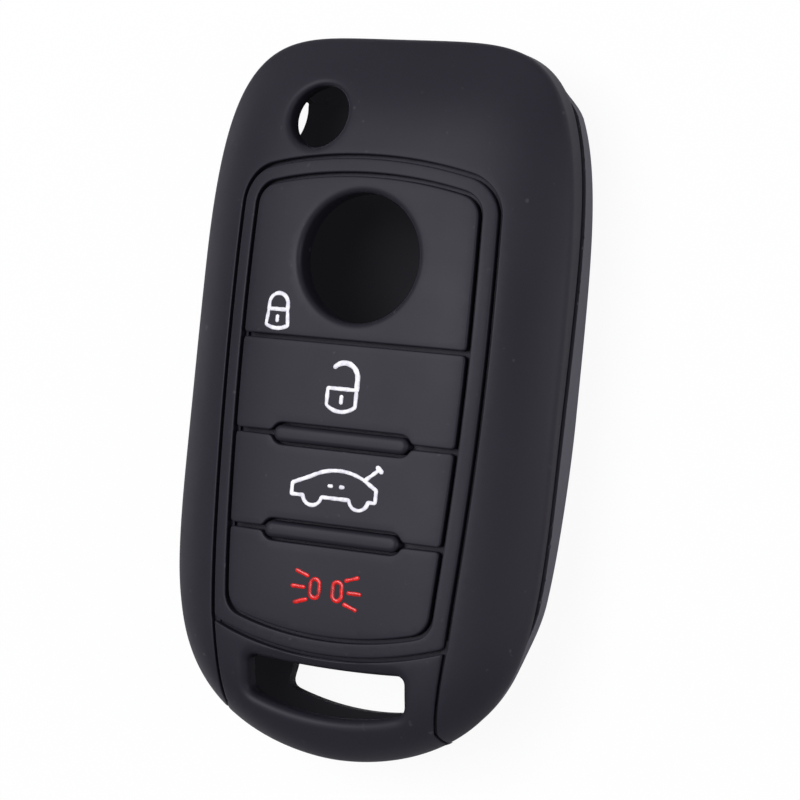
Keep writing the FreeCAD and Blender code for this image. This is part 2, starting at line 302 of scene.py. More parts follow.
def sheet(loops, outer, under, spacing, extra=None):
    # A closed skin over a plan area: rounded rims, an even fill, an underside and walls.
    # The first loop is the outline and the others are holes; each runs counter-clockwise.
    plan, dip, faces, cores, coreAt, rims = [], [], [], [], [], []
    start = 0
    for k, (points, soft) in enumerate(loops):
        n = len(points)
        soft = np.full(n, soft)
        into = outward(points) * (soft if k else -soft)[:, None]
        for a in arcRows:
            plan.append(points + into * (1 - math.cos(a)))
            dip.append(soft * (1 - math.sin(a)))
        for row in range(len(arcRows) - 1):
            for i in range(n):
                a, b = start + row * n + i, start + row * n + (i + 1) % n
                faces.append((b, a, a + n, b + n) if k else (a, b, b + n, a + n))
        rims.append((start, n, k > 0))
        cores.append(plan[-1])
        coreAt.extend(range(start + (len(arcRows) - 1) * n, start + len(arcRows) * n))
        start += len(arcRows) * n

    def within(points):
        found = inside(points, cores[0])
        for hole in cores[1:]:
            found &= ~inside(points, hole)
        return found

    edge = np.vstack(cores)
    extra = np.zeros((0, 2)) if extra is None else extra[within(extra)]
    extra = apartFrom(extra, edge, fillGaps["extraEdge"])
    low, high = edge.min(0), edge.max(0)
    fill = []
    for k, y in enumerate(np.arange(low[1], high[1], spacing * fillGaps["row"])):
        xs = np.arange(low[0] + spacing / 2 * (k % 2), high[0], spacing)
        fill.append(np.column_stack([xs, np.full(len(xs), y)]))
    fill = np.vstack(fill)
    fill = apartFrom(fill[within(fill)], edge, spacing * fillGaps["edge"])
    fill = apartFrom(fill, extra, spacing * fillGaps["extra"])
    core = np.vstack([edge, extra, fill])
    links = []
    at = 0
    for loop in cores:
        links += [(at + i, at + (i + 1) % len(loop)) for i in range(len(loop))]
        at += len(loop)
    made = delaunay_2d_cdt([Vector(p) for p in core], links, [], 0, 1e-7)
    spots, triangles, origins = np.array([tuple(v) for v in made[0]]), made[2], made[3]
    added, index = [], []
    for spot, origin in zip(spots, origins):
        if origin and origin[0] < len(edge):
            index.append(coreAt[origin[0]])
        else:
            index.append(start + len(added))
            added.append(spot)
    triangles = np.array(triangles)
    middle = spots[triangles].mean(1)
    for a, b, c in triangles[within(middle)]:
        turn = np.cross(spots[b] - spots[a], spots[c] - spots[a])
        faces.append((index[a], index[b], index[c]) if turn > 0 else (index[a], index[c], index[b]))
    if added:
        plan.append(np.array(added))
        dip.append(np.zeros(len(added)))
    plan, dip = np.vstack(plan), np.concatenate(dip)
    n = len(plan)
    faces += [tuple(i + n for i in reversed(f)) for f in faces]
    for first, count, hole in rims:
        for i in range(count):
            a, b = first + i, first + (i + 1) % count
            faces.append((b + n, a + n, a, b) if hole else (a + n, b + n, b, a))
    return np.vstack([outer(plan, dip), under(plan)]), faces


def addPiece(name, parts, body, nodes, slot, material, sharp=38):
    verts, faces = [], []
    for v, f in parts:
        shift = sum(len(x) for x in verts)
        verts.append(v)
        faces += [tuple(i + shift for i in face) for face in f]
    mesh = bpy.data.meshes.new(name)
    mesh.from_pydata((np.vstack(verts) / 1000).tolist(), [], faces)
    mesh.polygons.foreach_set("use_smooth", [True] * len(mesh.polygons))
    mesh.set_sharp_from_angle(angle=math.radians(sharp))
    mesh.materials.append(material)
    obj = bpy.data.objects.new(name, mesh)
    bpy.context.scene.collection.objects.link(obj)
    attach(obj, body)
    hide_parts(*nodes)


# Shader node groups

def newGroup(name, inputs, outputs):
    group = bpy.data.node_groups.new(name, "ShaderNodeTree")
    for label, kind, value in inputs:
        socket = group.interface.new_socket(label, in_out="INPUT", socket_type=kind)
        socket.default_value = value
    for label, kind in outputs:
        group.interface.new_socket(label, in_out="OUTPUT", socket_type=kind)
    return group, group.nodes.new("NodeGroupInput"), group.nodes.new("NodeGroupOutput")


def noiseNode(tree, scale, detail):
    node = tree.nodes.new("ShaderNodeTexNoise")
    node.inputs["Scale"].default_value = scale
    node.inputs["Detail"].default_value = detail
    return node


def spread(tree, source, low, high, toLow=0, toHigh=1):
    node = tree.nodes.new("ShaderNodeMapRange")
    labels = ("From Min", "From Max", "To Min", "To Max")
    for label, value in zip(labels, (low, high, toLow, toHigh)):
        node.inputs[label].default_value = value
    tree.links.new(source, node.inputs["Value"])
    return node.outputs["Result"]


def mixColour(tree, factor, a, b):
    node = tree.nodes.new("ShaderNodeMix")
    node.data_type = "RGBA"
    tree.links.new(factor, node.inputs["Factor"])
    for source, socket in ((a, node.inputs["A"]), (b, node.inputs["B"])):
        if isinstance(source, tuple):
            socket.default_value = source
        else:
            tree.links.new(source, socket)
    return node.outputs["Result"]


def times(tree, a, b):
    node = tree.nodes.new("ShaderNodeMath")
    node.operation = "MULTIPLY"
    tree.links.new(a, node.inputs[0])
    tree.links.new(b, node.inputs[1])
    return node.outputs["Value"]


rubberLook = dict(
    drift=(60, 3), dust=(900, 1), grain=(2600, 2),  # scale and detail of each noise
    worn=(0.35, 0.68), speck=(0.74, 0.82), speckShare=0.15, speckColour=(0.16, 0.16, 0.165, 1),
    # lip keys: where the painted highlight on the right lip falls, and how patchy it is
    lipFacing=(0.55, 0.85), lipLevel=(0.0087, 0.0084), lipDrift=(0.3, 0.6), lipLeast=0.75,
    # inner keys: where painted shade darkens faces that look up from deep down, which also carry a faint
    # painted glow
    innerFacing=(0.1, 0.35), innerLevel=(0.0075, 0.0065), innerDull=0.35,
    roughDrift=(0.3, 0.7), rough=(0.5, 0.6),
)


# Rubber colour with random tone and dust, plus painted light: a highlight on the right lip, and shade with a
# faint glow deep inside
def rubberFinishAndPaintedLight():
    look = rubberLook
    group, start, end = newGroup("rubberFinishAndPaintedLight", [
        ("Body", "NodeSocketColor", (0.03, 0.03, 0.034, 1)),
        ("Worn", "NodeSocketColor", (0.04, 0.04, 0.044, 1)),
        # pale colour of the painted highlight on the right lip
        ("PaintedLipHighlight", "NodeSocketColor", (0.08, 0.08, 0.08, 1)),
        # colour of the painted shade deep inside, then of the painted glow there
        ("Inside", "NodeSocketColor", (0.004, 0.004, 0.004, 1)),
        ("InsideGlow", "NodeSocketColor", (0, 0, 0, 1)),
    ], [
        ("Colour", "NodeSocketColor"), ("Glow", "NodeSocketColor"),
        ("Roughness", "NodeSocketFloat"), ("Height", "NodeSocketFloat"),
    ])
    where = group.nodes.new("ShaderNodeTexCoord").outputs["Object"]
    drift, dust, grain = (noiseNode(group, *look[k]) for k in ("drift", "dust", "grain"))
    for node in (drift, dust, grain):
        group.links.new(where, node.inputs["Vector"])
    slow = spread(group, drift.outputs["Fac"], *look["worn"])
    tone = mixColour(group, slow, start.outputs["Body"], start.outputs["Worn"])
    speck = spread(group, dust.outputs["Fac"], *look["speck"], 0, look["speckShare"])
    tone = mixColour(group, speck, tone, look["speckColour"])
    # A painted highlight makes the lip on the right paler; faces that look up from deep down get painted
    # shade, dull and dark, with a faint painted glow
    facing, place = (group.nodes.new("ShaderNodeSeparateXYZ") for k in range(2))
    group.links.new(group.nodes.new("ShaderNodeNewGeometry").outputs["Normal"], facing.inputs["Vector"])
    group.links.new(where, place.inputs["Vector"])
    level = group.nodes.new("ShaderNodeVectorMath")
    level.operation = "DOT_PRODUCT"
    level.inputs[1].default_value = (0, form["seamSlope"], 1)
    group.links.new(where, level.inputs[0])
    # painted highlight: faces turned to the right near the seam are made paler
    sideways = times(group, spread(group, facing.outputs["X"], *look["lipFacing"]),
                     spread(group, level.outputs["Value"], *look["lipLevel"]))
    patchy = spread(group, drift.outputs["Fac"], *look["lipDrift"], look["lipLeast"], 1)
    paintedHighlight = times(group, sideways, patchy)
    tone = mixColour(group, paintedHighlight, tone, start.outputs["PaintedLipHighlight"])
    # painted shade: faces that look up from deep down are darkened
    innerShade = times(group, spread(group, facing.outputs["Z"], *look["innerFacing"]),
                  spread(group, place.outputs["Z"], *look["innerLevel"]))
    tone = mixColour(group, innerShade, tone, start.outputs["Inside"])
    group.links.new(tone, end.inputs["Colour"])
    # painted glow: the shaded inside gives off a faint light
    glow = mixColour(group, innerShade, (0, 0, 0, 1), start.outputs["InsideGlow"])
    group.links.new(glow, end.inputs["Glow"])
    rough = group.nodes.new("ShaderNodeMath")  # adds, as new math nodes do
    varied = spread(group, drift.outputs["Fac"], *look["roughDrift"], *look["rough"])
    group.links.new(varied, rough.inputs[0])
    group.links.new(spread(group, innerShade, 0, 1, 0, look["innerDull"]), rough.inputs[1])
    group.links.new(rough.outputs["Value"], end.inputs["Roughness"])
    group.links.new(grain.outputs["Fac"], end.inputs["Height"])
    return group


inkLook = dict(patch=(1500, 2), thick=(0.36, 0.62))


def inkFinish():
    group, start, end = newGroup("inkFinish", [
        ("Thick", "NodeSocketColor", (0.8, 0.8, 0.8, 1)),
        ("Thin", "NodeSocketColor", (0.5, 0.5, 0.5, 1)),
    ], [("Colour", "NodeSocketColor"), ("Height", "NodeSocketFloat")])
    where = group.nodes.new("ShaderNodeTexCoord").outputs["Object"]
    patch = noiseNode(group, *inkLook["patch"])
    group.links.new(where, patch.inputs["Vector"])
    share = spread(group, patch.outputs["Fac"], *inkLook["thick"])
    tone = mixColour(group, share, start.outputs["Thin"], start.outputs["Thick"])
    group.links.new(tone, end.inputs["Colour"])
    group.links.new(patch.outputs["Fac"], end.inputs["Height"])
    return group


rubberGroup, inkGroup = rubberFinishAndPaintedLight(), inkFinish()


def newMaterial(name, group, colours, relief):
    material = bpy.data.materials.new(name)
    material.use_nodes = True
    tree = material.node_tree
    shader = tree.nodes["Principled BSDF"]
    finish = tree.nodes.new("ShaderNodeGroup")
    finish.node_tree = group
    for label, value in colours.items():
        finish.inputs[label].default_value = value
    tree.links.new(finish.outputs["Colour"], shader.inputs["Base Color"])
    bump = tree.nodes.new("ShaderNodeBump")
    bump.inputs["Strength"].default_value = relief["strength"]
    bump.inputs["Distance"].default_value = relief["distance"]
    tree.links.new(finish.outputs["Height"], bump.inputs["Height"])
    tree.links.new(bump.outputs["Normal"], shader.inputs["Normal"])
    if "Roughness" in finish.outputs:
        tree.links.new(finish.outputs["Roughness"], shader.inputs["Roughness"])
        tree.links.new(finish.outputs["Glow"], shader.inputs["Emission Color"])
        shader.inputs["Emission Strength"].default_value = 1
    return material, shader


silicone, shader = newMaterial("silicone", rubberGroup, {
    "Body": (0.0132, 0.0124, 0.0182, 1), "Worn": (0.0152, 0.0144, 0.0206, 1),
    # the pale lip colour is a painted highlight and the inside colour painted shade; the next line holds a
    # painted glow
    "PaintedLipHighlight": (0.084, 0.083, 0.097, 1), "Inside": (0.0035, 0.0035, 0.004, 1),
    "InsideGlow": (0.006, 0.006, 0.0075, 1),
}, dict(strength=0.25, distance=0.00002))
shader.inputs["Specular IOR Level"].default_value = 0.25

inkRelief = dict(strength=0.4, distance=0.00004)
whiteInk, shader = newMaterial("whiteInk", inkGroup, {
    "Thick": (0.93, 0.93, 0.93, 1), "Thin": (0.68, 0.68, 0.71, 1),
}, inkRelief)
shader.inputs["Roughness"].default_value = 0.45

redInk, shader = newMaterial("redInk", inkGroup, {
    "Thick": (0.78, 0.012, 0.008, 1), "Thin": (0.42, 0.006, 0.005, 1),
}, inkRelief)
shader.inputs["Roughness"].default_value = 0.28
print("materials made")


# Both shells are a face rolled over its edge and carried on along the side wall to the seam.
# In their plans, places outside the edge stand for places along the wall.
def bend(a, c, b, t):
    t = np.clip(t, 0, 1)[:, None]
    return (1 - t) ** 2 * a + 2 * t * (1 - t) * c + t ** 2 * b


def stack(plan, z):
    return np.column_stack([plan, z])


def rollOver(curve, height, way, points, soft):
    # Places on the outer skin, and the direction out of it
    foot, normal, e = footOn(curve, points)
    soft = soft(foot)
    near, rise = foot - normal * soft[:, None], height(foot)
    t = np.clip((e + soft) / (2 * soft), 0, 1)
    turned = bend(stack(near, height(near)), stack(foot, rise), stack(foot, rise + way * soft), t)
    out = np.where((e < soft)[:, None], turned, stack(foot, rise + way * e))
    out = np.where((e > -soft)[:, None], out, stack(points, height(points)))
    direction = stack(normal * t[:, None], -way * (1 - t))
    return out, direction / np.linalg.norm(direction, axis=1)[:, None]


wallTurn = dict(far=0.8, share=0.8, step=0.3, least=0.05)


def rollUnder(curve, height, way, points, skin, wall, reach):
    # Places on the inner skin, which turns at the foot of the wall
    foot, normal, e = footOn(curve, points)
    a, c = foot - normal * reach, foot - normal * wall
    corner = height(c) + way * skin
    rise, seam = height(foot), seamHeight(foot)
    turnTo = np.minimum(wallTurn["far"], wallTurn["share"] * way * (seam - rise))
    start = np.maximum(way * rise + turnTo, way * corner + wallTurn["step"])
    start = way * np.minimum(start, way * seam - wallTurn["least"])
    t = (e + reach) / (reach + turnTo)
    turned = bend(stack(a, height(a) + way * skin), stack(c, corner), stack(c, start), t)
    share = (e - turnTo) / (way * (seam - rise) - turnTo)
    side = stack(c, start + (seam - start) * share)
    out = np.where((e < turnTo)[:, None], turned, side)
    return np.where((e > -reach)[:, None], out, stack(points, height(points) + way * skin))


frontShell = dict(
    rimSoft=0.6, rimShare=0.8, tailSoft=1.1, tailFrom=(20, 33), wallReach=4.0, windowSoft=0.2, seamSoft=0.14,
    holeSoft=0.8, slotSoft=1.2, slotLowSoft=1.3, slotLowFrom=(32.8, 34.6), ledge=0.8, ledgeSkin=1.5,
    release=(-7.45, 30.75, 3.6), spacing=0.8,
    rows=(-2.1, -1.6, -1.2, -0.9, -0.65, -0.4, -0.2, 0, 0.2, 0.4, 0.6, 0.85, 1.1, 1.5, 2.0, 2.5),
)
tailGroove = dict(
    half=0.17, depth=0.75, over=1.0, bed=0.6, bedSoft=0.05, bedSkin=0.3, spacing=0.4,
    path=((14.3, -25.4), (13.55, -31.0), (12.95, -35.4)),
)
keySlot = dict(half=9.6, top=-29.75, topRise=0.4, tail=-35.3, tailRise=1.7)
bladeSlot = dict(
    low=3.6, high=8.8, edge=0.35, least=0.05, top=29.0, tail=-21.0, deepest=9,
    pivot=(-20.5, 32.6), pivotRadius=5.7, pastPivot=1.2, bite=(100, -130), biteGap=0.1,
)
rim = rimLoop()


def bladeCut(points):
    # Places on an outline that the blade slot and the room for its pivot take away
    pivot = np.hypot(*(points - bladeSlot["pivot"]).T) < bladeSlot["pivotRadius"]
    beside = (points[:, 1] > bladeSlot["tail"]) & (points[:, 1] < bladeSlot["top"])
    return (points[:, 0] < 0) & (beside | pivot)


def slotLoop():
    s = keySlot
    top, tail = s["top"] + s["topRise"], s["tail"] + s["tailRise"]
    upper = arcPoints((s["half"], top), (0, s["top"]), (-s["half"], top), 60)
    lower = arcPoints((-s["half"], tail), (0, s["tail"]), (s["half"], tail), 60)
    return smoothed(np.vstack([upper, lower]), 0.1, 10, 0.3)


def between(low, high, share):
    return low + (high - low) * share


def rimSoft(foot):
    g = frontShell
    wide = between(g["rimSoft"], g["tailSoft"], ramp(-foot[:, 1], *g["tailFrom"]))
    return np.minimum(wide, g["rimShare"] * (domeHeight(foot) - seamHeight(foot)))


def frontOuter(points, dip):
    out, direction = rollOver(rim, domeHeight, -1, points, rimSoft)
    return out - direction * (dip - waver(points))[:, None]


def frontUnder(points):
    g = frontShell
    near = np.minimum.reduce([np.hypot(*(points - p).T) for p in windowLoop[::6]])
    out = rollUnder(rim, domeHeight, -1, points, form["frontSkin"], form["sideWall"], g["wallReach"])
    out[:, 2] += np.where(near < g["ledge"], form["frontSkin"] - g["ledgeSkin"], 0)
    return out


def groovePath(side):
    # Centre of a tail groove, carried on over the rim
    path = np.array(tailGroove["path"]) * (side, 1)
    foot, normal = footOn(rim, path[-1:])[:2]
    return evenly(np.vstack([path, foot + normal * tailGroove["over"]]), 0.15, False)


def ribbonLoop(path, half):
    # Counter-clockwise outline of a narrow ribbon with round ends
    normal = sideOf(path)
    turn, back = (math.atan2(*normal[k][::-1]) for k in (-1, 0))
    return np.vstack([
        path + normal * half, sweepArc(path[-1], half, turn, math.pi, 9)[1:-1],
        (path - normal * half)[::-1], sweepArc(path[0], half, back + math.pi, math.pi, 9)[1:-1],
    ])


def slitted(loop, path, half):
    # A loop with a narrow slit let into it along a path that starts inside
    ribbon = ribbonLoop(path, half)
    slit = np.roll(ribbon, -int(np.argmin(np.hypot(*(ribbon - path[0]).T))), 0)
    slit = slit[~inside(slit, loop)]
    keep = ~inside(loop, ribbon)
    gap = int(np.argmax(~keep & np.roll(keep, 1)))
    run = np.roll(loop, -gap, 0)[np.roll(keep, -gap)]
    if np.hypot(*(slit[0] - run[-1])) > np.hypot(*(slit[-1] - run[-1])):
        slit = slit[::-1]
    return np.vstack([run, slit])


windowLoop = evenly(panelLoop(groove / 2, panel["tailCorner"]), 0.1)
for side in (-1, 1):
    windowLoop = slitted(windowLoop, groovePath(side), tailGroove["half"])
windowLoop = smoothed(windowLoop, 0.05, 2, 0.17)
seam = seamHeight(rim[0])
low = np.where(bladeCut(rim[0]), np.maximum(seam, bladeSlot["high"]), seam)
frontLoop = rim[0] + rim[1] * (domeHeight(rim[0]) - low - form["seamGap"])[:, None]
frontLoop = smoothed(frontLoop, 0.1, 5, 0.4)
keyLoop = slotLoop()
lowShare = ramp(-keyLoop[:, 1], *frontShell["slotLowFrom"])
keySoft = between(frontShell["slotSoft"], frontShell["slotLowSoft"], lowShare)
rows = np.vstack([rim[0][::3] + rim[1][::3] * e for e in frontShell["rows"]])


def grooveBed(side):
    loop = evenly(ribbonLoop(groovePath(side), tailGroove["bed"]), 0.3)
    depth = tailGroove["depth"]
    return sheet([(loop, tailGroove["bedSoft"])], lambda points, dip: frontOuter(points, dip + depth),
                 lambda points: frontOuter(points, depth + tailGroove["bedSkin"]), tailGroove["spacing"])


addPiece("cover_front", [sheet([
    (frontLoop, frontShell["seamSoft"]),
    (windowLoop, frontShell["windowSoft"]),
    (ringOf(*frontShell["release"], 0.3), frontShell["holeSoft"]),
    (keyLoop, keySoft),
], frontOuter, frontUnder, frontShell["spacing"], rows), grooveBed(-1), grooveBed(1)],
    "cover", ["front_shell"], "silicone", silicone)
print("front shell built")

# Rear shell: a swollen back, with a lip on the right and a slot for the blade on the left
rearShell = dict(
    edgeSoft=0.5, wallReach=4.0, seamSoft=0.16, slotSoft=0.6, spacing=1.1,
    rows=(-5.0, -4.0, -3.2, -2.5, -1.9, -1.4, -1.0, -0.7),
    edgeRows=(-0.45, -0.2, 0, 0.2, 0.4, 0.6, 0.9, 1.3, 1.8, 2.4, 3.0),
    lipRows=(-0.9, -0.5, -0.28, -0.16, -0.08, -0.02, 0.04, 0.1, 0.2),
)
lip = dict(
    reach=0.7, gap=0.35, foot=0.6, below=0.12, above=0.06,
    top=36.2, topFade=3.6, past=1, end=1.6, tail=-28.0, fade=8.0,
)
rear = rimLoop(form["rearInset"])


def rearSoft(foot):
    return np.full(len(foot), rearShell["edgeSoft"])


def rearOuter(points, dip):
    out, direction = rollOver(rear, bellyHeight, 1, points, rearSoft)
    foot = footOn(rear, points)[0]
    low, high = bellyHeight(foot), seamHeight(foot) - lip["gap"]
    x, y, z = out.T
    raised = ramp(z, low - lip["foot"], low + lip["foot"])
    raised *= 1 - ramp(z, high - lip["below"], high + lip["above"])
    along = ramp(y, lip["tail"], lip["tail"] + lip["fade"])
    along *= 1 - ramp(y, lip["top"] - lip["topFade"], lip["top"])
    return out - direction * (dip - raised * along * lip["reach"] * (x > 0))[:, None]


def rearUnder(points):
    wall = form["sideWall"] - form["rearInset"]
    out = rollUnder(rear, bellyHeight, 1, points, form["rearSkin"], wall, rearShell["wallReach"])
    x, y = points.T
    cut = (x < 0) & (y > bladeSlot["tail"]) & (y < bladeSlot["pivot"][1] + bladeSlot["pastPivot"])
    cut &= bellyHeight(points) < bladeSlot["low"] - bladeSlot["least"]
    out[cut, 2] = np.minimum(out[cut, 2], bladeSlot["low"])
    return out


def rearOutline():
    # The seam all round, cut back to the blade slot's low edge and around its pivot
    base, normals = rear
    seam = base + normals * (seamHeight(base) - bellyHeight(base) - form["seamGap"])[:, None]
    pivot, cut = np.array(bladeSlot["pivot"]), bladeCut(base)
    first = int(np.argmax(cut & ~np.roll(cut, 1)))
    rest = np.roll(seam, -first, 0)[int(cut.sum()):]
    angles = np.radians(np.linspace(*bladeSlot["bite"], 160))
    bite = pivot + bladeSlot["pivotRadius"] * np.column_stack([np.cos(angles), np.sin(angles)])
    level = bladeSlot["low"] - bladeSlot["edge"]
    within = footOn(rear, bite)[2] < -bladeSlot["least"]
    bite = bite[within & ((bite[:, 1] > pivot[1]) | (bellyHeight(bite) < level))]
    steps = np.linspace(0, bladeSlot["deepest"], 400)
    lowEdge = []
    for at, normal in zip(base[cut], normals[cut]):
        inward = at - normal * steps[:, None]
        lowEdge.append(inward[np.argmax(bellyHeight(inward) < level)])
    highest = bite[-1][1] - bladeSlot["biteGap"]
    lowEdge = np.array([p for p in lowEdge if bladeSlot["tail"] < p[1] < highest])
    return smoothed(np.vstack([rest, bite, lowEdge]), 0.1, 3, 0.4)


base, normals = rear
rows = [base[::3] + normals[::3] * e for e in rearShell["rows"] + rearShell["edgeRows"]]
lipSide = (base[:, 0] > 0) & (base[:, 1] > lip["tail"]) & (base[:, 1] < lip["top"] + lip["past"])
lipEnd = lipSide & (np.abs(base[:, 1] - lip["top"]) < lip["end"])
lipReach = (seamHeight(base) - lip["gap"] - bellyHeight(base))[:, None]
rows += [base[lipEnd] + normals[lipEnd] * e for e in rearShell["edgeRows"]]
rows += [(base + normals * (lipReach + e))[lipSide][::2] for e in rearShell["lipRows"]]
rows = np.unique(np.vstack(rows).round(4), axis=0)
addPiece("cover_rear", [sheet([
    (rearOutline(), rearShell["seamSoft"]), (slotLoop(), rearShell["slotSoft"]),
], rearOuter, rearUnder, rearShell["spacing"], rows)], "cover", ["rear_shell"], "silicone", silicone)
print("rear shell built")


# Bezel, pads and bars all follow the dome
def onDome(lift=0.0):
    def outer(points, dip):
        return np.column_stack([points, domeHeight(points) + lift + waver(points) - dip])
    return outer


def belowDome(depth):
    def under(points):
        return np.column_stack([points, domeHeight(points) - depth])
    return under


bezel = dict(
    soft=0.2, depth=1.55, tailCorner=0.6, floor=1.02, floorDepth=1.3, tuck=0.1, padTuck=0.04,
    step=0.3, spacing=0.4,
)


def bezelEdge(grow, tailCorner, passes=1):
    # A second pass evens out the chords at the corners
    loop = panelLoop(grow, tailCorner)
    for k in range(passes):
        loop = evenly(loop, bezel["step"])
    return loop


outerGrow, innerGrow = -groove / 2, -bezelWidth + groove / 2
edges = [bezelEdge(outerGrow, bezel["tailCorner"]), bezelEdge(innerGrow, panel["innerCorner"])]
parts = [sheet([(edge, bezel["soft"]) for edge in edges],
               onDome(), belowDome(bezel["depth"]), bezel["spacing"])]
# Floors of the two grooves, each reaching a little under what stands on either side
outerFloor = [bezelEdge(groove / 2 + bezel["tuck"], panel["tailCorner"], 2),
              bezelEdge(outerGrow - bezel["tuck"], bezel["tailCorner"])]
innerFloor = [bezelEdge(innerGrow + bezel["tuck"], panel["innerCorner"]),
              bezelEdge(padGrow + bezel["padTuck"], panel["innerCorner"], 2)]
for edges in (outerFloor, innerFloor):
    parts.append(sheet([(edge, hiddenSoft) for edge in edges],
                       onDome(-bezel["floor"]), belowDome(bezel["floorDepth"]), bezel["step"]))
addPiece("bezel", parts, "cover", ["pad_bezel"], "silicone", silicone)
print("bezel built")

bars = dict(half=8.2, moat=0.3, proud=0.25, soft=0.55, depth=1.55, spacing=0.5)


def barLoop(y, grow):
    radius = barWidth / 2 + grow
    x = bars["half"] - barWidth / 2
    right = sweepArc(np.array([x, y]), radius, -math.pi / 2, math.pi, 40)
    left = sweepArc(np.array([-x, y]), radius, math.pi / 2, math.pi, 40)
    return np.vstack([right, left])


for name, y in (("bar_upper", upperBarY), ("bar_lower", lowerBarY)):
    addPiece(name, [sheet(
        [(evenly(barLoop(y, 0), 0.3), bars["soft"])],
        onDome(bars["proud"]), belowDome(bars["depth"]), bars["spacing"],
    )], "cover", ["divider_" + name], "silicone", silicone)
print("bars built")


def stripLoop(grow, tailCorner, low, high, lowNotch=None, highNotch=None):
    # The part of the panel between two levels, with room for a bar where one lies on its edge
    loop = panelLoop(grow, tailCorner)
    sides = []
    for side in (1, -1):
        run = loop[loop[:, 0] * side > 0]
        run = run[np.argsort(run[:, 1])]
        across, along = run.T
        ends = [(np.interp(y, along, across), y) for y in (low, high) if along[0] < y < along[-1]]
        run = np.vstack([run[(along > low) & (along < high)]] + ([ends] if ends else []))
        sides.append(run[np.argsort(run[:, 1])])

    def notch(barY, edgeY):
        points = barLoop(barY, bars["moat"])
        above = edgeY > barY
        points = points[points[:, 1] > edgeY] if above else points[points[:, 1] < edgeY]
        points = points[np.argsort(points[:, 0], kind="stable")]
        return points if above else points[::-1]

    parts = [sides[0]]
    if highNotch is not None:
        parts.append(notch(highNotch, high))
    parts.append(sides[1][::-1])
    if lowNotch is not None:
        parts.append(notch(lowNotch, low))
    return smoothed(np.vstack(parts), 0.08, 5, 0.34)


pads = dict(soft=0.2, plate=0.9, stemTop=0.85, stem=2.6, stemInset=1.2, spacing=0.7, stemSpacing=1.4)
badge = dict(y=lines[0] + 9.32, radius=7.15, soft=0.75)
tops = [panel["top"]] + [y - groove / 2 for y in lines]
lows = [y + groove / 2 for y in lines] + [panel["tail"]]
notches = [(None, None), (lines[1], None), (lines[2], lines[1]), (None, lines[2])]
corner, inset = panel["innerCorner"], pads["stemInset"]
for k, stem in enumerate(("lock", "unlock", "boot", "panic")):
    low, high = lows[k], tops[k]
    plate = [(stripLoop(padGrow, corner, low, high, *notches[k]), pads["soft"])]
    root = [(stripLoop(padGrow - inset, corner - inset, low + inset, high - inset), hiddenSoft)]
    if stem == "lock":
        plate.append((ringOf(0, badge["y"], badge["radius"], 0.3), badge["soft"]))
        root.append((ringOf(0, badge["y"], badge["radius"], 0.5), hiddenSoft))
    addPiece(stem + "_pad_face", [
        sheet(plate, onDome(), belowDome(pads["plate"]), pads["spacing"]),
        sheet(root, onDome(-pads["stemTop"]), belowDome(pads["stem"]), pads["stemSpacing"]),
    ], stem + "_button", [stem + "_pad"], "silicone", silicone)
print("pads built")

# Filled marks, each drawn about its own origin as raised lines of ink
ink = dict(
    width=0.45, rise=0.085, sink=0.12, clear=0.004, step=0.09, blunt=0.02,
    wobble=0.22, wobbleScale=1.6, wobbleShift=0.1, firstSeed=1.3,
)
inkProfile = [
    (-1, -ink["sink"]), (-1, 0.0), (-0.86, 0.5), (-0.5, 0.87), (0, 1.0),
    (0.5, 0.87), (0.86, 0.5), (1, 0.0), (1, -ink["sink"]),
]


def straight(*points):
    return np.array(points, float)


def inkLine(path, at, closed, seed, bold=1):
    points = evenly(path, ink["step"], closed)
    half = ink["width"] / 2 * bold
    if closed:
        points = softened(points, 1)
        normal, taper = outward(points), np.ones(len(points))
    else:
        ends = [points[0] - points[1], points[-1] - points[-2]]
        ends = [e / np.hypot(*e) * half for e in ends]
        points = evenly(np.vstack([points[0] + ends[0], points, points[-1] + ends[1]]), ink["step"], False)
        normal, run = sideOf(points), runAlong(points)
        tip = np.minimum(run, run[-1] - run)
        taper = np.sqrt(np.clip(1 - np.clip(1 - tip / half, 0, 1) ** 2, ink["blunt"], 1))
    scale = ink["wobbleScale"]
    wobble = [noise.noise(Vector((x * scale, y * scale, seed))) for x, y in points]
    widths = half * taper * (1 + ink["wobble"] * (np.array(wobble) - ink["wobbleShift"]))
    n, m = len(points), len(inkProfile)
    rings = []
    for across, up in inkProfile:
        plan = points + normal * (widths * across)[:, None] + np.array(at)
        lift = up * ink["rise"] * taper if up > 0 else np.full(n, up)
        rings.append(np.column_stack([plan, domeHeight(plan) + waver(plan) + lift + ink["clear"]]))
    verts = np.stack(rings, 1).reshape(-1, 3)
    faces = []
    for i in range(n if closed else n - 1):
        j = (i + 1) % n
        faces += [(i * m + k, i * m + (k + 1) % m, j * m + (k + 1) % m, j * m + k) for k in range(m)]
    if not closed:
        faces += [tuple(range(m))[::-1], tuple((n - 1) * m + k for k in range(m))]
    return verts, faces


lampShape = dict(half=0.54, straight=0.5, high=1.04, apart=1.37)
rayShape = dict(near=(2.35, 1.3), far=(3.7, 1.75), midShift=0.4)


def lampLoop(side):
    x, half, y, high = side * lampShape["apart"], lampShape["half"], lampShape["straight"], lampShape["high"]
    upper = arcPoints((x + half, y), (x, high), (x - half, y))
    lower = arcPoints((x - half, -y), (x, -high), (x + half, -y))
    return np.vstack([upper, lower])


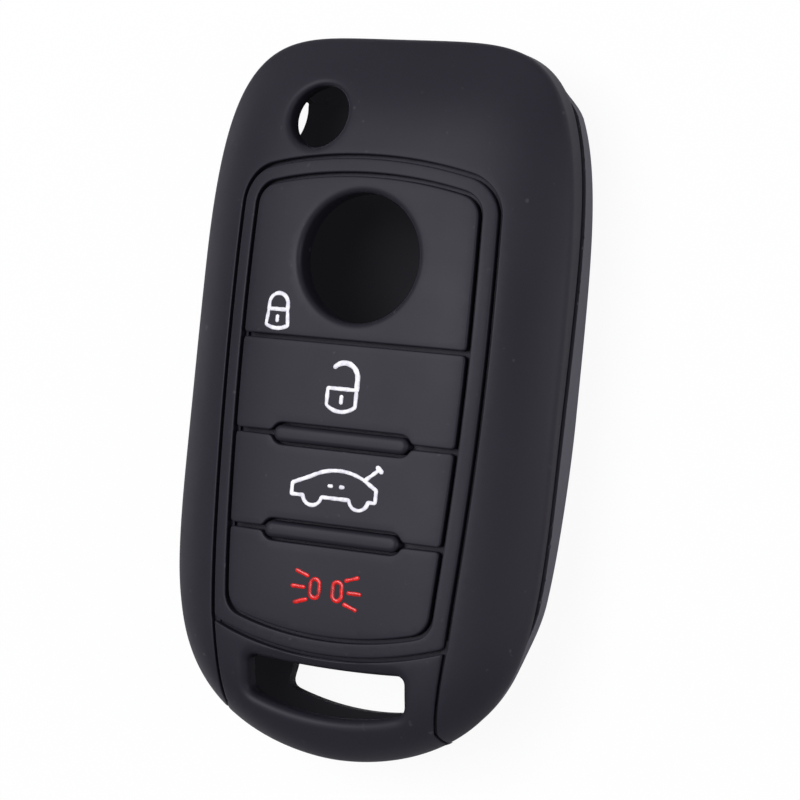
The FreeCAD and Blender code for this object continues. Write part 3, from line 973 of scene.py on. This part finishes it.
lockBody = np.vstack([straight((-1.4, -1.75)), arcPoints((-1.4, -1.75), (0, -2.1), (1.4, -1.75)),
                      straight((1.2, 0), (-1.2, 0))])
lockBow = np.vstack([straight((-1.2, 0)), arcPoints((-1.2, 0.55), (0, 1.78), (1.2, 0.55)),
                     straight((1.2, 0))])
unlockBody = np.vstack([arcPoints((-1.75, -1.85), (0, -2.5), (1.75, -1.85)),
                        straight((1.75, 0), (-1.75, 0))])
unlockBow = np.vstack([straight((1.75, 0)), arcPoints((1.75, 1.2), (0.1, 2.85), (-1.07, 2.37))])
carSill = -1.16
carBody = np.vstack([
    straight((-5.2, carSill), (-3.8, carSill)),
    arcPoints((-3.8, carSill), (-2.65, -2.16), (-1.5, carSill)),
    arcPoints((1.85, carSill), (3.0, -2.16), (4.15, carSill)),
    straight((5.0, carSill), (5.0, 0.24), (3.5, 1.14)),
    arcPoints((3.5, 1.14), (0.2, 1.89), (-2.9, 1.04)), straight((-5.2, 0.09)),
])
marks = {
    "lock": dict(at=(-9.18, 8.98), ink=whiteInk, slot="white_ink", lines={
        "lock_mark": [(lockBody, True), (lockBow, False)],
        "lock_keyhole": [(straight((0, -0.8), (0, -1.25)), False)],
    }),
    "unlock": dict(at=(-0.27, 0.89), ink=whiteInk, slot="white_ink", lines={
        "unlock_mark": [(unlockBody, True), (unlockBow, False, 1.3)],
        "unlock_keyhole": [(straight((0, -0.85), (0, -1.5)), False)],
    }),
    "boot": dict(at=(0, -9.89), ink=whiteInk, slot="white_ink", lines={
        "boot_mark": [(carBody, True), (straight((3.5, 1.14), (5.15, 2.5)), False),
                      (straight((4.95, 2.68), (5.4, 2.3)), False, 1.2)],
        "boot_dot_left": [(straight((-0.67, 0.15), (-0.43, 0.15)), False)],
        "boot_dot_right": [(straight((0.73, 0.15), (0.97, 0.15)), False)],
    }),
    "panic": dict(at=(0.08, -21.05), ink=redInk, slot="red_ink", lines={
        "lamp_left": [(lampLoop(-1), True)], "lamp_right": [(lampLoop(1), True)],
    }),
}
for side, sign in (("left", -1), ("right", 1)):
    for height, level in (("top", 1), ("mid", 0), ("low", -1)):
        shift = rayShape["midShift"] * (1 - abs(level))
        ends = [(sign * (x + shift), level * y) for x, y in (rayShape["near"], rayShape["far"])]
        marks["panic"]["lines"]["ray_" + side + "_" + height] = [(straight(*ends), False)]
for stem, mark in marks.items():
    for node, paths in mark["lines"].items():
        made = [inkLine(path, mark["at"], closed, ink["firstSeed"] + k, *bold)
                for k, (path, closed, *bold) in enumerate(paths)]
        addPiece(node + "_ink", made, stem + "_button", [node], mark["slot"], mark["ink"], sharp=70)
print("marks built")

# The web under the pads keeps its own shape
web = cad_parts["flex_web"]
web.data.materials.clear()
web.data.materials.append(silicone)

# Floor, light and camera
stageLook = dict(
    floorHalf=3, floorLevel=-0.0002, floorColour=0.72, glow=0.94, shade=0.05, worldLight=0.19,
    lightColour=(1, 0.98, 1.07),
)


def floorMaterial():
    material = bpy.data.materials.new("floor")
    material.use_nodes = True
    tree = material.node_tree
    tree.nodes.clear()
    out = tree.nodes.new("ShaderNodeOutputMaterial")
    diffuse = tree.nodes.new("ShaderNodeBsdfDiffuse")
    diffuse.inputs["Color"].default_value = (stageLook["floorColour"],) * 3 + (1,)
    dim = tree.nodes.new("ShaderNodeBsdfDiffuse")
    dim.inputs["Color"].default_value = (stageLook["shade"],) * 3 + (1,)
    glow = tree.nodes.new("ShaderNodeEmission")
    glow.inputs["Strength"].default_value = stageLook["glow"]
    seen = tree.nodes.new("ShaderNodeAddShader")
    tree.links.new(dim.outputs["BSDF"], seen.inputs[0])
    tree.links.new(glow.outputs["Emission"], seen.inputs[1])
    mix = tree.nodes.new("ShaderNodeMixShader")
    rays = tree.nodes.new("ShaderNodeLightPath")
    tree.links.new(rays.outputs["Is Camera Ray"], mix.inputs["Fac"])
    tree.links.new(diffuse.outputs["BSDF"], mix.inputs[1])
    tree.links.new(seen.outputs["Shader"], mix.inputs[2])
    tree.links.new(mix.outputs["Shader"], out.inputs["Surface"])
    return material


half, level = stageLook["floorHalf"], stageLook["floorLevel"]
corners = [(x * half, y * half, level) for x, y in ((-1, -1), (1, -1), (1, 1), (-1, 1))]
floorMesh = bpy.data.meshes.new("floor")
floorMesh.from_pydata(corners, [], [(0, 1, 2, 3)])
floorMesh.materials.append(floorMaterial())
floor = bpy.data.objects.new("floor", floorMesh)
bpy.context.scene.collection.objects.link(floor)
floor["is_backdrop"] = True

world = bpy.data.worlds.new("studio")
bpy.context.scene.world = world
world.use_nodes = True
tree = world.node_tree
sky = tree.nodes["Background"]
sky.inputs["Color"].default_value = (1, 1, 1, 1)
rays = tree.nodes.new("ShaderNodeLightPath")
strength = spread(tree, rays.outputs["Is Camera Ray"], 0, 1, stageLook["worldLight"], 1)
tree.links.new(strength, sky.inputs["Strength"])

lights = {
    "overheadSoft": dict(place=(-0.13, 0.10, 0.62), size=(0.36, 0.44), power=4.1),
    "rightSoft": dict(place=(0.6, 0.02, 0.04), size=(0.12, 0.6), power=1.75),
}
for name, look in lights.items():
    lamp = bpy.data.lights.new(name, "AREA")
    lamp.shape = "RECTANGLE"
    lamp.size, lamp.size_y = look["size"]
    lamp.energy = look["power"]
    lamp.color = stageLook["lightColour"]
    obj = bpy.data.objects.new(name, lamp)
    obj.location = look["place"]
    obj.rotation_euler = (-Vector(look["place"])).to_track_quat("-Z", "Y").to_euler()
    bpy.context.scene.collection.objects.link(obj)

view = dict(
    place=(0.11618, 0.00147, 0.25050), right=(0.90102, 0.09901, -0.42232), back=(0.42401, 0.00437, 0.90565),
    lens=108, sensor=36, clip=(0.01, 20),
)
right, backward = Vector(view["right"]).normalized(), Vector(view["back"]).normalized()
upward = backward.cross(right).normalized()
right = upward.cross(backward)
camera = bpy.data.objects.new("camera", bpy.data.cameras.new("camera"))
camera.data.lens = view["lens"]
camera.data.sensor_width = view["sensor"]
camera.data.clip_start, camera.data.clip_end = view["clip"]
turned = Matrix((right, upward, backward)).transposed().to_4x4()
camera.matrix_world = Matrix.Translation(view["place"]) @ turned
bpy.context.scene.collection.objects.link(camera)
bpy.context.scene.camera = camera
bpy.context.scene.view_settings.view_transform = "Standard"
print("stage set")

low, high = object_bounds()
{"cad": [list(cadLow), list(cadHigh)], "visual": [list(low), list(high)]}
